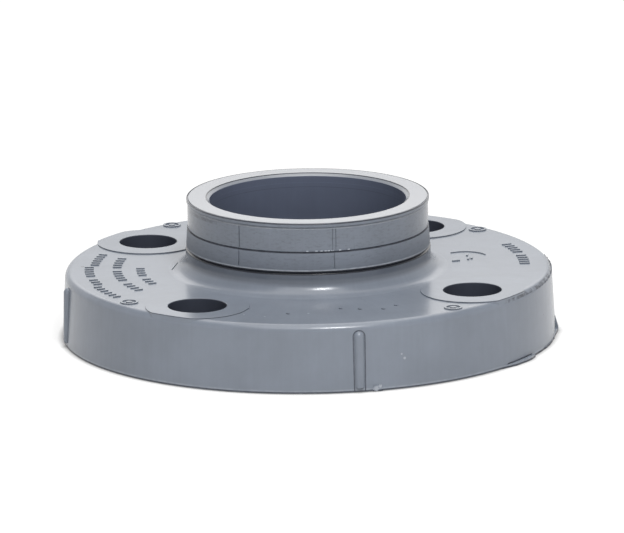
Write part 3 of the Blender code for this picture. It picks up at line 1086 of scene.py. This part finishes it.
def floor_material():
    """White paper that keeps the flange's shadow and looks white to the camera and in reflections.

    Under the flange it lets the room's light through, so that the gasket face isn't black from below.
    """
    material = bpy.data.materials.new("white_sweep")
    material.use_nodes = True
    tree = Tree(material.node_tree)
    material.node_tree.nodes.remove(material.node_tree.nodes["Principled BSDF"])
    out = material.node_tree.nodes["Material Output"]
    path = tree.add("ShaderNodeLightPath")
    seen = tree.plus(path.outputs["Is Camera Ray"], path.outputs["Is Glossy Ray"])
    seen = tree.plus(seen, path.outputs["Is Transmission Ray"], clamp=True)
    white = tree.mix(seen, (0.92, 0.92, 0.92, 1.0), (0.3, 0.3, 0.3, 1.0))
    paper = tree.add("ShaderNodeBsdfDiffuse", {"Color": white})
    contact = tree.add("ShaderNodeAmbientOcclusion", {"Distance": 0.002}, samples=8).outputs["AO"]
    contact = tree.math('POWER', contact, 1.5)
    strength = tree.times(tree.times(seen, 0.74), contact)
    glow = tree.add("ShaderNodeEmission", {"Color": (1.0, 1.0, 1.0, 1.0), "Strength": strength})
    lit = tree.add("ShaderNodeAddShader", {0: paper.outputs[0], 1: glow.outputs[0]})
    clear = tree.add("ShaderNodeBsdfTransparent")
    back = tree.add("ShaderNodeNewGeometry").outputs["Backfacing"]
    here = tree.add("ShaderNodeTexCoord").outputs["Object"]
    under = tree.math('LESS_THAN', tree.radius_of(here), CLEAR_RADIUS)
    under = tree.minus(under, path.outputs["Is Camera Ray"], clamp=True)
    both = tree.add("ShaderNodeMixShader", {
        0: tree.math('MAXIMUM', back, under), 1: lit.outputs[0], 2: clear.outputs[0]})
    material.node_tree.links.new(both.outputs[0], out.inputs["Surface"])
    return material


def white_room(strength):
    """World that lights evenly and looks white to the camera and, up to a dimmer ceiling, in reflections."""
    world = bpy.data.worlds.new("white_room")
    world.use_nodes = True
    tree = Tree(world.node_tree)
    path = tree.add("ShaderNodeLightPath")
    direction = tree.vector('NORMALIZE', tree.add("ShaderNodeTexCoord").outputs["Generated"])
    walls = tree.minus(1.0, tree.times(tree.ramp(tree.height_of(direction), *CEILING), 0.75))
    mirrored = tree.plus(path.outputs["Is Glossy Ray"], path.outputs["Is Transmission Ray"])
    seen = tree.plus(path.outputs["Is Camera Ray"], tree.times(mirrored, walls), clamp=True)
    level = tree.plus(strength, tree.times(seen, 1.0 - strength))
    background = world.node_tree.nodes["Background"]
    background.inputs["Color"].default_value = (1.0, 1.0, 1.0, 1.0)
    world.node_tree.links.new(level, background.inputs["Strength"])
    bpy.context.scene.world = world


def place_round(aim, distance, azimuth, elevation):
    """Place at a distance from a point, turned from -Y towards +X and raised."""
    reach = distance * math.cos(elevation)
    return aim + Vector((
        reach * math.sin(azimuth), -reach * math.cos(azimuth), distance * math.sin(elevation)))


def add_lamp(name, power, size, azimuth, elevation, colour, distance, aim):
    """A square soft lamp that looks at a point."""
    spot = place_round(aim, distance, azimuth, elevation)
    bpy.ops.object.select_all(action='DESELECT')
    bpy.ops.object.light_add(type='AREA', location=spot)
    lamp = bpy.context.object
    lamp.name = name
    lamp.data.energy = power
    lamp.data.color = colour
    lamp.data.shape = 'SQUARE'
    lamp.data.size = size
    lamp.rotation_euler = (aim - spot).to_track_quat('-Z', 'Y').to_euler()
    return lamp


class FLANGE_OT_stage(bpy.types.Operator):
    """Add the camera, the lamps, the floor and the white room"""

    bl_idname = "flange.stage"
    bl_label = "Stage"

    def execute(self, context):
        studio = context.scene.flange_studio
        right = Vector((math.cos(studio.azimuth), math.sin(studio.azimuth), 0.0))
        aim = Vector((0.0, 0.0, studio.aim_height)) + right * studio.aim_side
        spot = place_round(aim, studio.distance, studio.azimuth, studio.elevation)
        look = (aim - spot).to_track_quat('-Z', 'Y') @ Euler((0.0, 0.0, studio.roll)).to_quaternion()
        bpy.ops.object.camera_add(location=spot, rotation=look.to_euler())
        camera = context.object
        camera.name = "photo_camera"
        camera.data.lens = studio.lens
        camera.data.sensor_width = 36.0
        camera.data.clip_end = 20.0
        context.scene.camera = camera
        centre = Vector((0.0, 0.0, 0.02))
        for name, power, size, azimuth, elevation, colour in LAMPS:
            add_lamp(name, getattr(studio, power), size, studio.azimuth + math.radians(azimuth),
                     math.radians(elevation), colour, LAMP_DISTANCE, centre)
        bpy.ops.mesh.primitive_plane_add(size=FLOOR_SIZE, location=(0.0, 0.0, -FLOOR_DROP))
        floor = context.object
        floor.name = "sweep"
        floor.data.materials.append(floor_material())
        white_room(studio.ambient)
        context.scene.view_settings.view_transform = 'Standard'
        return {'FINISHED'}


class FLANGE_PT_panel(bpy.types.Panel):
    """Lists the steps that build the flange"""

    bl_idname = "FLANGE_PT_panel"
    bl_label = "Socket flange"
    bl_space_type = 'VIEW_3D'
    bl_region_type = 'UI'
    bl_category = "Flange"

    def draw(self, context):
        for operator in OPERATORS:
            self.layout.operator(operator.bl_idname)


GROUPS = {
    "flange_sizes": FlangeSizes,
    "hub_sizes": HubSizes,
    "mark_sizes": MarkSizes,
    "flange_finish": FlangeFinish,
    "flange_studio": FlangeStudio,
}
OPERATORS = (FLANGE_OT_moulding, FLANGE_OT_stage)
CLASSES = (*GROUPS.values(), *OPERATORS, FLANGE_PT_panel)


def register():
    for each in CLASSES:
        bpy.utils.register_class(each)
    for name, group in GROUPS.items():
        setattr(bpy.types.Scene, name, PointerProperty(type=group))


def unregister():
    for name in GROUPS:
        delattr(bpy.types.Scene, name)
    for each in reversed(CLASSES):
        bpy.utils.unregister_class(each)


def main():
    register()
    bpy.ops.flange.moulding()
    bpy.ops.flange.stage()


if __name__ == "__main__":
    main()
